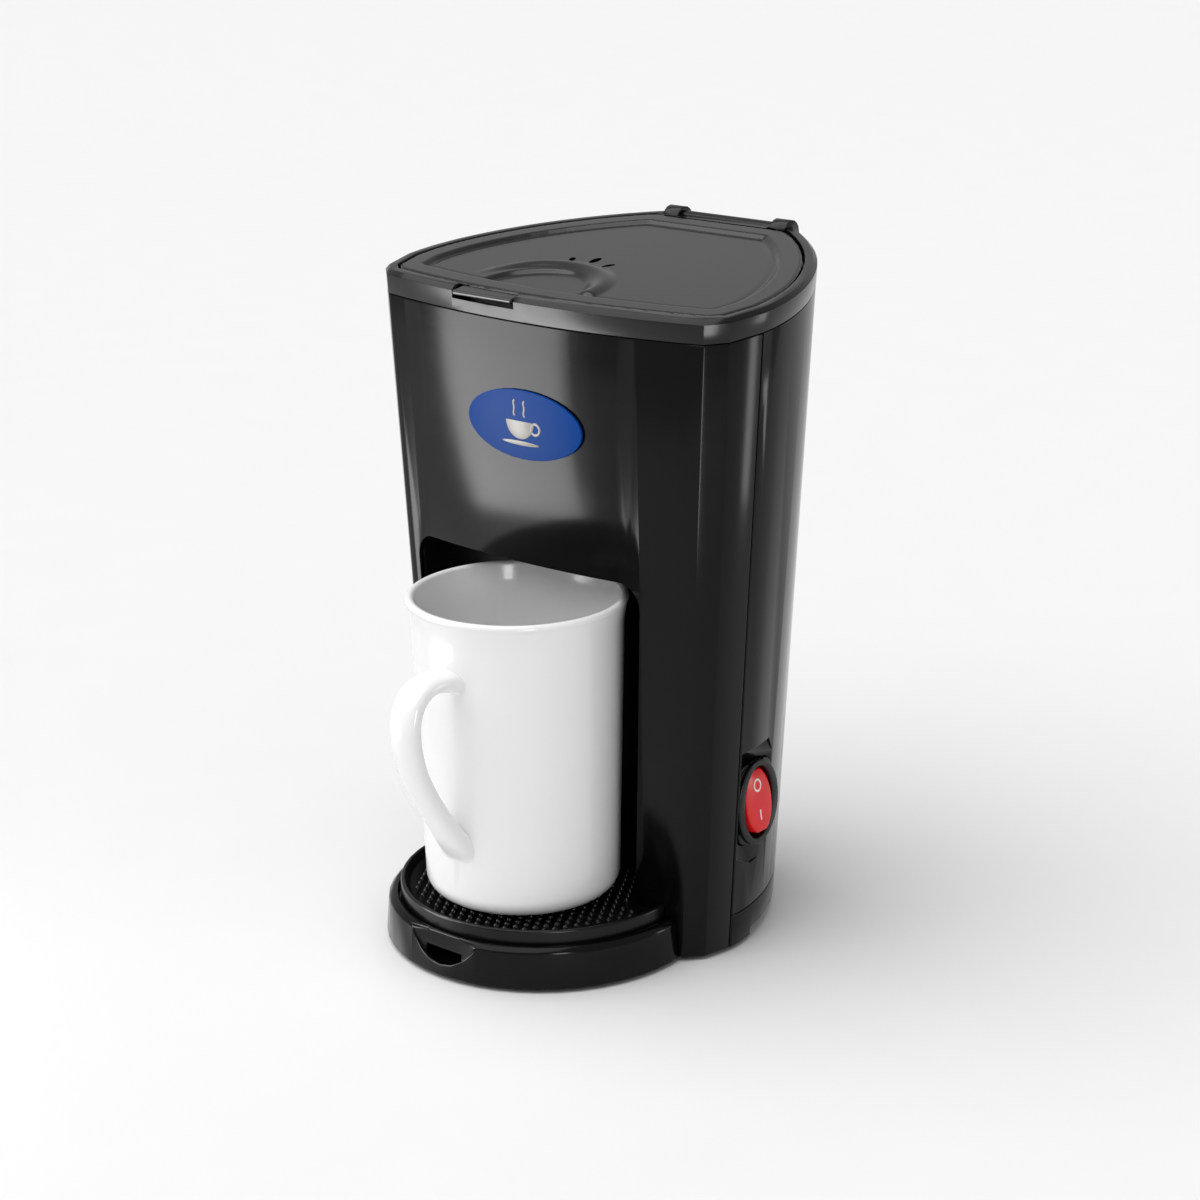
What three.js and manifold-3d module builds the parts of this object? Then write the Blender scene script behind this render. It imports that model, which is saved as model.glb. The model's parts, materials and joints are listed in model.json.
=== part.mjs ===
// One-cup drip coffee maker with its mug, as a scene graph of separate named pieces.
// Millimetres, +Z up. X is the width, the front with the mug faces -Y, and the floor is z = 0.
// Run with the npm packages three and manifold-3d.
import * as THREE from "three";
import { mergeVertices } from "three/addons/utils/BufferGeometryUtils.js";
import Module from "manifold-3d";

const wasm = await Module();
wasm.setup();

// ---------------------------------------------------------------- driving dimensions

const FIT = 0.3; // gap between pieces that touch or lie in each other
const SLIDE = 0.5; // gap round pieces that move or lift out

// Tower outline at the top, seen from above (the right half; the left is its mirror)
const TOWER = {
  height: 227.6, // top edge of the rim's band at y = 0
  topSlope: 0.093, // the top rises towards the back
  frontY: -24.4, // crown of the front arc
  frontHalf: 69.4, // half width where the front arc ends
  frontCorner: 6.6, // how far back the arc's ends lie from its crown
  cheekHalf: 75.5, // half width behind the narrow corner facet
  cheekY: -12,
  partHalf: 78.7, // half width where the front and rear shells meet
  partY: 1.9,
  backHalf: 27, // half width of the flat back
  backY: 88.5,
  flankPull: new THREE.Vector2(80, 30), // handles of the curve along the flank
  shoulderPull: new THREE.Vector2(60, 67),
  wall: 2.4,
};
// The tower narrows towards the floor
const DRAFT = { sides: 0.176, front: 3.1, back: -13.9 };

const RIM = { band: 6.3, chamfer: 1.5, width: 4.2, ledge: 4, ledgeHeight: 3.4, skirt: 5.5, skirtWall: 1.6 };
const LID = {
  gap: 1,
  thickness: 4,
  border: 7.8,
  panelDepth: 1.3,
  ribInset: 6.3,
  ribDrop: 2.6,
  ribWall: 1.5,
};
const TAB = {
  x: -20,
  width: 27,
  reach: 4.8,
  root: 5,
  corner: 4.5,
  thickness: 1.7,
  drop: 0.9,
  notchDepth: 4,
  notchSide: 1,
};
const RECESS = { x: -13, y: -7.5, radius: 21, ridge: 7.5, ridgeHeight: 1, depth: 0.7 };
const VENTS = {
  x: -12,
  y: 25.4,
  spread: 8.7,
  back: 2.4,
  length: 5.4,
  width: 2.6,
  centreScale: 1.25,
  tilt: 0.5,
};
const HINGE_INSET = 0.9; // the hinge's line lies this far in front of the back
const HINGE = {
  y: TOWER.backY - HINGE_INSET,
  drop: 1.1,
  barrel: 3.3,
  ear: 4.7,
  earIn: 20.5,
  earOut: 27,
  pin: 1.5,
  open: 5.5,
};

// Opening for the mug, before the draft narrows it
const CUTOUT = { left: -63.6, right: 47.1, top: 134.6, radius: 9 };
const ALCOVE = { back: 12, wall: 2, corner: 22, lap: 0.6, ceiling: 137, ceilingWall: 2.4, outletHole: 7.5 };

const FOOT = {
  y: -20.3,
  radius: 56.4,
  lean: 1,
  height: 16,
  chamfer: 1.6,
  wall: 2.4,
  bottom: 1.5,
  deck: 10,
  deckWall: 2.2,
};
const NOTCH = { width: 16, depth: 3, height: 5.5 };
const TRAY = { radius: 51.6, bottom: 12.7, floor: 19.9, lip: 20.8, lipWall: 2.6, wall: 1.8 };
const SKIRT = { top: 13.5, raised: 4.5, stepY: 15 };

const MUG = {
  y: -31.8,
  bottom: 20.2,
  height: 107.3,
  footRadius: 27,
  heel: 7,
  lowRadius: 33.9,
  highRadius: 36.4,
  rimRadius: 38.6,
  flare: 9,
  wall: 3.2,
  floor: 5,
};
const HANDLE = { reach: 60.5, thickness: 7, width: 12.5, top: 86, bottom: 27 };

const HOSE = { outer: 4.2, inner: 3.1, stub: 2.3, bore: 1.5 };
const CLAMP = { wall: 1.1, height: 5, ear: 4, earWall: 2.4 };

const BASKET = { y: 15, top: 212, bottom: 141.5, topRadius: 29.5, lowRadius: 26, wall: 1.6 };
const OUTLET = { y: -5, radius: 4.5, bottom: 135.5, bore: 1.8 };
// The filter hangs in the basket by its flange, clear of the wall
const FILTER_GAP = 1.4;
const FILTER = {
  flange: BASKET.topRadius - SLIDE,
  thick: 1.7,
  top: BASKET.topRadius - BASKET.wall - FILTER_GAP,
  low: 15,
  bottom: 150,
  wall: 1.5,
  window: 16,
  mesh: 0.8,
};
// The hot hose rises between the basket and the tank
const NOZZLE = {
  x: 8,
  y: BASKET.y + BASKET.topRadius + HOSE.outer + SLIDE,
  top: 222.5,
  hoseTop: 207,
  head: 4,
};
const SHOWER_END = 7.8; // how far the shower channel reaches behind the spout
const SHOWER = {
  width: 20,
  front: 6,
  back: NOZZLE.y + SHOWER_END,
  depth: 6,
  wall: 1.4,
  x: 6,
  inlet: 5.5,
  outlet: 4,
  outletY: BASKET.y,
};

const HEATER = { y: 50, z: 32, height: 12, radius: 24, width: 12, leg: 15, stub: 8 };

const TANK_GAP = 0.7; // between the tank's front and the spout's clamp
const TANK_FRONT = NOZZLE.y + HOSE.outer + CLAMP.wall + TANK_GAP;
const TANK = {
  inset: 6,
  wall: 2,
  front: TANK_FRONT,
  bottom: 95,
  topGap: 14,
  outletX: -HEATER.radius,
  outletY: TANK_FRONT + HOSE.outer + CLAMP.wall,
  outletDrop: 9,
};
const VALVE = { radius: 6.2, bottom: 68, height: 11, stub: 5 };

const SWITCH = { y: 14.6, z: 52.6, plateX: 65.4, bezelHigh: 31, bezelWide: 22.5, bezelDeep: 2.3 };
const SOCKET = { high: 26.6, wide: 15.6, deep: 9 };
const ROCKER = { high: 23.6, wide: 14.4, pivot: 3, face: 5.4, round: 12.2, tilt: 8.5, root: 4 };
const PLATE = { front: 3, back: 30.5, top: 74, bottom: 30.5, corner: 9 };
const SWITCH_BODY = {
  high: 29,
  wide: 18.5,
  deep: 17,
  corner: 4,
  tabWide: 5,
  tabThick: 0.8,
  tabLong: 8,
  tabSpread: 7,
};

const GLAND = { z: 24, flange: 8, flangeThick: 2, bush: 5.2, bore: 3.2, length: 11 };
const BADGE = { x: -2, z: 184, halfWidth: 25.2, halfHeight: 12, thickness: 0.9 };
const SCREW = {
  head: 3,
  headHeight: 1.2,
  shank: 1.5,
  boss: 4,
  frontX: 30,
  frontY: -10,
  backX: 47,
  backY: 30,
};
const PAD = { radius: 6.5, frontX: 33, frontY: -48, backX: 33, backY: 50 };
const COVER = { bottom: 1.9, wall: 2, raised: 4.9 };
const BRACKET = { halfWidth: 10, front: 16.5, back: 36, wall: 1.5 };
const THERMOSTAT = { radius: 6.5, height: 5, y: 26 };
const FUSE_AHEAD = 14.5; // from the hoses forward to the fuse's middle
const FUSE = { radius: 1.9, length: 14, x: -HEATER.radius, y: TANK.outletY - FUSE_AHEAD };

// ---------------------------------------------------------------- materials

const finish = (color, roughness, metalness = 0) =>
  new THREE.MeshStandardMaterial({ color, roughness, metalness });
const blackGloss = finish(0x111113, 0.15);
const blackSatin = finish(0x1a1a1c, 0.4);
const lidBlack = finish(0x161617, 0.25);
const glaze = finish(0xf6f6f4, 0.12);
const redLamp = finish(0xd81f1a, 0.2);
const badgeBlue = finish(0x0a4f9e, 0.25);
const aluminium = finish(0xb9bcc0, 0.35, 1);
const steel = finish(0x9a9da1, 0.3, 1);
const brass = finish(0xb58f45, 0.3, 1);
const silicone = finish(0xd9d6cf, 0.6);
const rubber = finish(0x202020, 0.85);
const tankGrey = finish(0x3a3d40, 0.45);

// ---------------------------------------------------------------- solids and booleans

// A closed geometry as a solid that can be joined and cut.
function solid(geometry) {
  const bare = new THREE.BufferGeometry();
  bare.setAttribute("position", geometry.getAttribute("position"));
  if (geometry.index) bare.setIndex(geometry.index);
  const merged = mergeVertices(bare, 1e-4);
  const vertProperties = new Float32Array(merged.attributes.position.array);
  const triVerts = new Uint32Array(merged.index.array);
  return new wasm.Manifold(new wasm.Mesh({ numProp: 3, vertProperties, triVerts }));
}

// A solid back as a geometry.
function geometryOf(body) {
  const mesh = body.getMesh();
  const geometry = new THREE.BufferGeometry();
  geometry.setAttribute("position", new THREE.BufferAttribute(new Float32Array(mesh.vertProperties), 3));
  geometry.setIndex(new THREE.BufferAttribute(new Uint32Array(mesh.triVerts), 1));
  geometry.computeVertexNormals();
  return geometry;
}

// A solid moved by a function of each of its points.
function warped(geometry, change) {
  const position = geometry.getAttribute("position");
  const point = new THREE.Vector3();
  for (let i = 0; i < position.count; i++) {
    change(point.fromBufferAttribute(position, i));
    position.setXYZ(i, point.x, point.y, point.z);
  }
  return geometry;
}

function boxSolid(x0, x1, y0, y1, z0, z1) {
  const box = new THREE.BoxGeometry(x1 - x0, y1 - y0, z1 - z0);
  return solid(box.translate((x0 + x1) / 2, (y0 + y1) / 2, (z0 + z1) / 2));
}

// A flat outline raised from z0 to z1, as a geometry.
function prismGeometry(points, z0, z1) {
  const shape = new THREE.Shape(points);
  return new THREE.ExtrudeGeometry(shape, { depth: z1 - z0, bevelEnabled: false }).translate(0, 0, z0);
}

// A solid of revolution about a vertical axis through (x, y); the profile is a list of [radius, z].
function turned(profile, x = 0, y = 0, sides = 24) {
  const points = profile.map(([r, z]) => new THREE.Vector2(r, z));
  return solid(new THREE.LatheGeometry(points, sides).rotateX(Math.PI / 2).translate(x, y, 0));
}
const drum = (radius, z0, z1, x = 0, y = 0, sides = 20) =>
  turned([[0, z0], [radius, z0], [radius, z1], [0, z1]], x, y, sides);

// A drum lying along X or along Y.
function drumAlong(axis, radius, from, to, a, b, sides = 20) {
  const rod = new THREE.CylinderGeometry(radius, radius, to - from, sides);
  const middle = (from + to) / 2;
  if (axis === "x") return solid(rod.rotateZ(Math.PI / 2).translate(middle, a, b));
  return solid(rod.translate(a, middle, b));
}

// A closed outline given as (y, z), raised along X from x0 to x1.
function raisedAlongX(points, x0, x1) {
  const raised = prismGeometry(points, x0, x1);
  return solid(warped(raised, (p) => p.set(p.z, p.x, p.y)));
}

// A closed outline given as (x, z), raised along Y from y0 to y1, as a geometry.
const raisedAlongY = (points, y0, y1) => prismGeometry(points, -y1, -y0).rotateX(Math.PI / 2);

function ovalPoints(cx, cy, halfX, halfY, sides = 32) {
  const oval = new THREE.EllipseCurve(cx, cy, halfX, halfY, 0, 2 * Math.PI);
  return oval.getPoints(sides).slice(0, -1);
}

function roundedBoxPoints(x0, x1, y0, y1, r, steps = 5) {
  const shape = new THREE.Shape();
  shape.moveTo(x0 + r, y0);
  shape.lineTo(x1 - r, y0);
  shape.absarc(x1 - r, y0 + r, r, -Math.PI / 2, 0);
  shape.lineTo(x1, y1 - r);
  shape.absarc(x1 - r, y1 - r, r, 0, Math.PI / 2);
  shape.lineTo(x0 + r, y1);
  shape.absarc(x0 + r, y1 - r, r, Math.PI / 2, Math.PI);
  shape.lineTo(x0, y0 + r);
  shape.absarc(x0 + r, y0 + r, r, Math.PI, 1.5 * Math.PI);
  return distinct(shape.getPoints(steps));
}

// The outline without points that repeat.
function distinct(points) {
  return points.filter((p, i) => p.distanceTo(points[(i + 1) % points.length]) > 1e-3);
}

// A hollow hose along a curve through the given points.
function hose(points, outer, inner, steps) {
  const curve = new THREE.CatmullRomCurve3(points, false, "centripetal");
  const ring = new THREE.Shape().absarc(0, 0, outer, 0, 2 * Math.PI);
  ring.holes.push(new THREE.Path().absarc(0, 0, inner, 0, 2 * Math.PI));
  return solid(new THREE.ExtrudeGeometry(ring, { extrudePath: curve, steps, curveSegments: 4 }));
}

// ---------------------------------------------------------------- the tower's shape

// The outline of the top, anticlockwise from the left end of the front arc.
function towerOutline() {
  const { frontY, frontHalf, frontCorner, cheekHalf, cheekY, partHalf, partY, backHalf, backY } = TOWER;
  const radius = (frontHalf ** 2 + frontCorner ** 2) / (2 * frontCorner);
  const right = [];
  const arcSteps = 8;
  for (let i = 0; i <= arcSteps; i++) {
    const x = (frontHalf * i) / arcSteps;
    right.push(new THREE.Vector2(x, frontY + radius - Math.sqrt(radius ** 2 - x ** 2)));
  }
  right.push(new THREE.Vector2(cheekHalf, cheekY));
  const flank = new THREE.CubicBezierCurve(
    new THREE.Vector2(partHalf, partY),
    TOWER.flankPull,
    TOWER.shoulderPull,
    new THREE.Vector2(backHalf, backY),
  );
  right.push(...flank.getPoints(14), new THREE.Vector2(backHalf - 7, backY + 1));
  const left = right.slice(1).map((p) => new THREE.Vector2(-p.x, p.y));
  return [...right, ...left.reverse()];
}

// The same outline moved inwards by a distance (outwards when it is negative).
function inset(points, distance) {
  const count = points.length;
  const normal = (a, b) => new THREE.Vector2(a.y - b.y, b.x - a.x).normalize();
  return points.map((p, i) => {
    const before = normal(points[(i + count - 1) % count], p);
    const after = normal(p, points[(i + 1) % count]);
    const mitre = before.clone().add(after).multiplyScalar(distance / (1 + before.dot(after)));
    return p.clone().add(mitre);
  });
}

// The draft: a point of the straight tower moved to where the narrowing tower has it.
function drafted(p) {
  const fall = 1 - p.z / TOWER.height;
  const back = THREE.MathUtils.clamp((p.y - TOWER.cheekY) / (TOWER.backY - TOWER.cheekY), 0, 1);
  p.x *= 1 - DRAFT.sides * fall;
  p.y += (DRAFT.front * (1 - back) + DRAFT.back * back) * fall;
}
const draftSolid = (geometry) => solid(warped(geometry, drafted));

const OUTLINE = towerOutline();
const REACH = 400; // longer than the object, for cutting tools
const towerCore = (depth, z0, z1) => draftSolid(prismGeometry(inset(OUTLINE, depth), z0, z1));

// Pieces of the sloping top are drawn level, with z = 0 at the band's top edge, and then sheared.
const topZ = (y) => TOWER.height + TOWER.topSlope * y;
const slope = (p) => p.setZ(p.z + topZ(p.y));
const sloped = (geometry) => draftSolid(warped(geometry, slope));
const slopedCore = (depth, z0, z1) => sloped(prismGeometry(inset(OUTLINE, depth), z0, z1));
const topRing = (outer, inner, z0, z1) => slopedCore(outer, z0, z1).subtract(slopedCore(inner, z0 - 1, z1 + 1));
const aboveTop = (z) => solid(warped(new THREE.BoxGeometry(REACH, REACH, REACH).translate(0, 0, REACH / 2 + z), slope));

// A raised outline whose top is another outline with as many points.
function tapered(lower, upper, z0, z1) {
  return warped(prismGeometry(lower, z0, z1), (p) => {
    if (p.z < (z0 + z1) / 2) return;
    const i = lower.findIndex((q) => Math.hypot(q.x - p.x, q.y - p.y) < 1e-3);
    p.setX(upper[i].x).setY(upper[i].y);
  });
}

const HINGE_Z = topZ(HINGE.y) - HINGE.drop;
const hingeDrum = (radius, x0, x1, sides) => drumAlong("x", radius, x0, x1, HINGE.y, HINGE_Z, sides);

// ---------------------------------------------------------------- shells

// The walls of the tower, open at the top and the bottom.
function towerWall(bottom) {
  const wall = towerCore(0, bottom, REACH / 1.5).subtract(towerCore(TOWER.wall, bottom - 1, REACH / 1.4));
  return wall.subtract(aboveTop(-RIM.band - FIT));
}

// The opening for the mug, cut from the front.
function cutoutTool() {
  const { left, right, top, radius } = CUTOUT;
  return draftSolid(raisedAlongY(roundedBoxPoints(left, right, -top, top, radius), -REACH / 4, 0));
}

// What lies behind the plane where the two shells meet, moved by a gap.
const behindParting = (gap) => boxSolid(-REACH, REACH, TOWER.partY + gap, REACH, -REACH, REACH);

function frontShell() {
  return towerWall(FOOT.bottom).subtract(behindParting(-FIT / 2)).subtract(cutoutTool());
}

// The flat-topped recess round the switch, given as (y, z).
function platePoints(grow) {
  const { front, back, top, bottom, corner } = PLATE;
  const shape = new THREE.Shape();
  shape.moveTo(front - grow, bottom + corner / 2 - grow);
  shape.lineTo(front + corner, bottom - grow);
  shape.quadraticCurveTo(back - corner / 2, bottom - grow, back + grow, bottom + 2 * corner);
  shape.lineTo(back + grow, top - 1.5 * corner);
  shape.lineTo(back - corner + grow, top + grow);
  shape.lineTo(front - grow, top + grow);
  return distinct(shape.getPoints(4));
}

function rearShell() {
  const { front, back, top, bottom } = PLATE;
  const { plateX } = SWITCH;
  const boss = boxSolid(plateX - 2.6, REACH, front - 0.8, back + 2, bottom - 3, top + 3);
  const recess = raisedAlongX(platePoints(0), plateX, REACH);
  const switchHole = raisedAlongX(bodyPoints(FIT), 0, REACH);
  const glandHole = drumAlong("y", GLAND.bush + FIT, 0, REACH, 0, GLAND.z);
  return towerWall(SKIRT.top + FIT)
    .intersect(behindParting(FIT / 2))
    .add(boss.intersect(towerCore(TOWER.wall / 2, SKIRT.top + FIT, top + 9)))
    .subtract(recess)
    .subtract(switchHole)
    .subtract(glandHole);
}

// The skirt that closes the tower's foot behind the front shell, with two lugs for the cover's screws.
function baseSkirt() {
  const ring = towerCore(0, FOOT.bottom, SKIRT.top).subtract(towerCore(TOWER.wall, 0, SKIRT.top + 1));
  const lugs = [-1, 1].map((side) => {
    const x = side * SCREW.backX;
    const lug = boxSolid(x - 5, x + 5, SCREW.backY - 5, SCREW.backY + 5, COVER.raised + COVER.wall + FIT, SKIRT.top);
    const arm = boxSolid(x, side * REACH / 4, SCREW.backY - 3, SCREW.backY + 3, SKIRT.top - 4, SKIRT.top);
    const reach = side > 0 ? arm : boxSolid(-REACH / 4, x, SCREW.backY - 3, SCREW.backY + 3, SKIRT.top - 4, SKIRT.top);
    return lug.add(reach.intersect(towerCore(TOWER.wall / 2, 0, SKIRT.top)));
  });
  return ring
    .subtract(boxSolid(-REACH, REACH, SKIRT.stepY, REACH, 0, SKIRT.raised))
    .intersect(behindParting(FIT / 2))
    .add(lugs[0])
    .add(lugs[1])
    .subtract(screwHoles());
}

// ---------------------------------------------------------------- top: rim, lid and hinge

function tabNotch() {
  const { x, width, notchDepth, notchSide } = TAB;
  const half = width / 2 + notchSide;
  const depth = RIM.width + LID.gap;
  const notch = new THREE.BoxGeometry(2 * half, 3 * depth, notchDepth + 5);
  return sloped(notch.translate(x, TOWER.frontY, RIM.chamfer - notchDepth + (notchDepth + 5) / 2));
}

function topRim() {
  const { band, chamfer, width, ledge, ledgeHeight, skirt, skirtWall } = RIM;
  const bodyTop = sloped(tapered(OUTLINE, inset(OUTLINE, chamfer), 0, chamfer));
  const frame = slopedCore(0, -band, 0).add(bodyTop).subtract(slopedCore(width, -band - 1, chamfer + 1));
  const shelf = topRing(width - 1, width + ledge, -band, ledgeHeight - band);
  const skirtInset = TOWER.wall + FIT;
  const locating = topRing(skirtInset, skirtInset + skirtWall, -band - skirt, 1 - band);
  const { y, ear, earIn, earOut, barrel, pin } = HINGE;
  const between = boxSolid(-earIn, earIn, y - ear - SLIDE, REACH, HINGE_Z - barrel - SLIDE, REACH);
  const base = topZ(y) - band;
  const ears = [-1, 1].map((side) => {
    const [x0, x1] = side > 0 ? [earIn, earOut] : [-earOut, -earIn];
    return hingeDrum(ear, x0, x1, 16).add(boxSolid(x0, x1, y - ear, y + ear / 2, base, HINGE_Z));
  });
  return frame
    .add(shelf)
    .add(locating)
    .subtract(between)
    .subtract(tabNotch())
    .add(ears[0])
    .add(ears[1])
    .subtract(hingeDrum(pin + FIT, -REACH, REACH, 12));
}

const LID_EDGE = RIM.width + LID.gap;
const LID_TOP = RIM.chamfer;
const LID_UNDER = RIM.chamfer - LID.thickness;

// Three leaf-shaped steam vents, given as outlines.
function ventPoints() {
  const { x, y, spread, back, length, width, centreScale, tilt } = VENTS;
  return [-1, 0, 1].map((place) => {
    const size = place === 0 ? centreScale : 1;
    const leaf = new THREE.EllipseCurve(0, 0, (width * size) / 2, (length * size) / 2, 0, 2 * Math.PI);
    const centre = new THREE.Vector2(x + place * spread, place === 0 ? y + back / 2 : y - back / 2);
    const origin = new THREE.Vector2();
    return leaf.getPoints(6).slice(0, -1).map((p) => p.rotateAround(origin, -place * tilt).add(centre));
  });
}

function lid() {
  const { border, panelDepth, ribInset, ribDrop, ribWall } = LID;
  const { y, barrel, earIn, open, pin } = HINGE;
  const panelZ = LID_TOP - panelDepth;
  const panelInset = LID_EDGE + border;
  const plate = slopedCore(LID_EDGE, LID_UNDER, LID_TOP);
  const panel = slopedCore(panelInset, panelZ, LID_TOP + 5);
  const rib = topRing(LID_EDGE + ribInset, LID_EDGE + ribInset + ribWall, LID_UNDER - ribDrop, LID_UNDER + 0.5);

  // raised moon round the finger recess
  const { x: moonX, y: moonY, radius, ridge, ridgeHeight, depth } = RECESS;
  const moonDisc = (r, z0, z1) => sloped(prismGeometry(ovalPoints(moonX, moonY, r, r, 24), z0, z1));
  const moon = moonDisc(radius + ridge, panelZ - 0.5, panelZ + ridgeHeight).subtract(moonDisc(radius, -5, 5));
  const dip = moonDisc(radius, panelZ - depth, LID_TOP + 5).intersect(slopedCore(panelInset, -5, 5));

  // the hinge's barrel between the rim's ears, joined to the plate
  const half = earIn - SLIDE;
  const joinBack = new THREE.BoxGeometry(2 * half, 8, LID.thickness);
  const bridge = sloped(joinBack.translate(0, y - 4, (LID_TOP + LID_UNDER) / 2));
  const earRoom = hingeDrum(open, earIn - SLIDE, REACH, 16).add(hingeDrum(open, -REACH, SLIDE - earIn, 16));

  // the tab at the front
  const { x, width, reach, root, corner, thickness, drop } = TAB;
  const lidFront = TOWER.frontY + LID_EDGE;
  const tabPoints = roundedBoxPoints(x - width / 2, x + width / 2, lidFront - reach, lidFront + root, corner);
  const tab = sloped(prismGeometry(tabPoints, LID_TOP - drop - thickness, LID_TOP - drop));

  let body = plate.subtract(panel).add(moon.intersect(slopedCore(panelInset, -5, 5))).subtract(dip);
  body = body.add(rib).add(tab).subtract(earRoom).add(bridge).add(hingeDrum(barrel, -half, half, 16));
  for (const points of ventPoints()) body = body.subtract(sloped(prismGeometry(points, -10, 10)));
  return body.subtract(hingeDrum(pin + FIT, -REACH, REACH, 12));
}

function hingePin(side) {
  const inner = HINGE.earIn - 7;
  const outer = HINGE.earOut;
  return side > 0 ? hingeDrum(HINGE.pin, inner, outer, 12) : hingeDrum(HINGE.pin, -outer, -inner, 12);
}

// The open channel under the lid that leads the hot water over the filter.
function showerChannel() {
  const { width, front, back, depth, wall, x, inlet, outlet, outletY } = SHOWER;
  const top = LID_UNDER - FIT;
  const slab = (shrink, z0, z1) => {
    const block = new THREE.BoxGeometry(width - 2 * shrink, back - front - 2 * shrink, z1 - z0);
    return sloped(block.translate(x, (front + back) / 2, (z0 + z1) / 2));
  };
  return slab(0, top - depth, top)
    .subtract(slab(wall, top - depth + wall, top + 2))
    .subtract(drum(inlet, TOWER.height - 30, TOWER.height + 30, NOZZLE.x, NOZZLE.y, 16))
    .subtract(drum(outlet, TOWER.height - 30, TOWER.height + 30, x, outletY, 16));
}

// ---------------------------------------------------------------- mug bay, foot and tray

// The room for the mug, grown by a distance.
function bay(grow, z0, z1) {
  const { back, corner } = ALCOVE;
  const points = roundedBoxPoints(CUTOUT.left - grow, CUTOUT.right + grow, -REACH / 4, back + grow, corner + grow);
  return draftSolid(prismGeometry(points, z0, z1));
}

function mugAlcove() {
  const { wall, lap, ceiling, ceilingWall, outletHole } = ALCOVE;
  const bottom = FOOT.height + FIT;
  return bay(lap + wall, bottom, ceiling + ceilingWall)
    .subtract(bay(lap, bottom - 1, ceiling))
    .intersect(towerCore(TOWER.wall + FIT, 0, ceiling + ceilingWall + 1))
    .subtract(drum(outletHole, ceiling - 5, ceiling + 9, 0, OUTLET.y));
}

// The tower's footprint with the room for the mug taken out.
const towerBar = (gap) => towerCore(-gap, -1, 2 * FOOT.height).subtract(bay(-gap, -2, 3 * FOOT.height));

function screwPlaces() {
  const { frontX, frontY, backX, backY } = SCREW;
  return [[-frontX, frontY], [frontX, frontY], [-backX, backY], [backX, backY]];
}

const screwHoles = () =>
  screwPlaces()
    .map(([x, y]) => drum(SCREW.shank + FIT, -1, FOOT.deck - 1, x, y, 12))
    .reduce((all, one) => all.add(one));

function footHousing() {
  const { y, radius, lean, height, chamfer, wall, bottom, deck, deckWall } = FOOT;
  const seat = TRAY.radius + SLIDE;
  const inner = radius - wall;
  const profile = [
    [0, deck],
    [inner, deck],
    [inner, bottom],
    [radius, bottom],
    [radius - lean, height - chamfer],
    [radius - lean - chamfer, height],
    [seat, height],
    [seat, deck + deckWall],
    [0, deck + deckWall],
  ];
  const notch = drumAlong("y", NOTCH.width, -REACH, y - radius + NOTCH.depth, 0, height + NOTCH.height);
  const bosses = [-1, 1].map((side) =>
    drum(SCREW.boss, COVER.bottom + COVER.wall + FIT, deck + 1, side * SCREW.frontX, SCREW.frontY, 16),
  );
  return turned(profile, 0, y, 48)
    .subtract(notch)
    .subtract(towerBar(FIT))
    .subtract(towerCore(-FIT, -1, deck))
    .add(bosses[0])
    .add(bosses[1])
    .subtract(screwHoles());
}

function dripTray() {
  const { radius, bottom, floor, lip, lipWall, wall } = TRAY;
  const profile = [
    [0, floor - wall],
    [radius - wall, floor - wall],
    [radius - wall, bottom],
    [radius, bottom],
    [radius, lip - 1],
    [radius - 1, lip],
    [radius - lipWall + 0.6, lip],
    [radius - lipWall, floor],
    [0, floor],
  ];
  return turned(profile, 0, FOOT.y, 48).subtract(towerBar(SLIDE));
}

function bottomCover() {
  const { bottom, wall, raised } = COVER;
  const inFoot = drum(FOOT.radius - FOOT.wall - 0.6, bottom, bottom + wall, 0, FOOT.y, 48);
  const inTower = towerCore(TOWER.wall + FIT, bottom, raised + wall);
  const step = SKIRT.stepY;
  const front = boxSolid(-REACH, REACH, -REACH, step, bottom, bottom + wall);
  const riser = boxSolid(-REACH, REACH, step - wall, step, bottom, raised + wall);
  const back = boxSolid(-REACH, REACH, step - wall, REACH, raised, raised + wall);
  return inFoot
    .subtract(towerBar(FIT))
    .add(inTower.intersect(front.add(riser).add(back)))
    .subtract(screwHoles());
}

function pad(x, y) {
  const cover = y < SKIRT.stepY ? COVER.bottom : COVER.raised;
  return drum(PAD.radius, 0, cover - FIT, x, y, 16);
}

function coverScrew(x, y) {
  const cover = y < SKIRT.stepY ? COVER.bottom : COVER.raised;
  const { head, headHeight, shank } = SCREW;
  const top = FOOT.deck - 1 - FIT;
  return drum(shank, cover - FIT - headHeight / 2, top, x, y, 10).add(
    drum(head, cover - FIT - headHeight, cover - FIT, x, y, 12),
  );
}

// ---------------------------------------------------------------- mug

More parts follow.
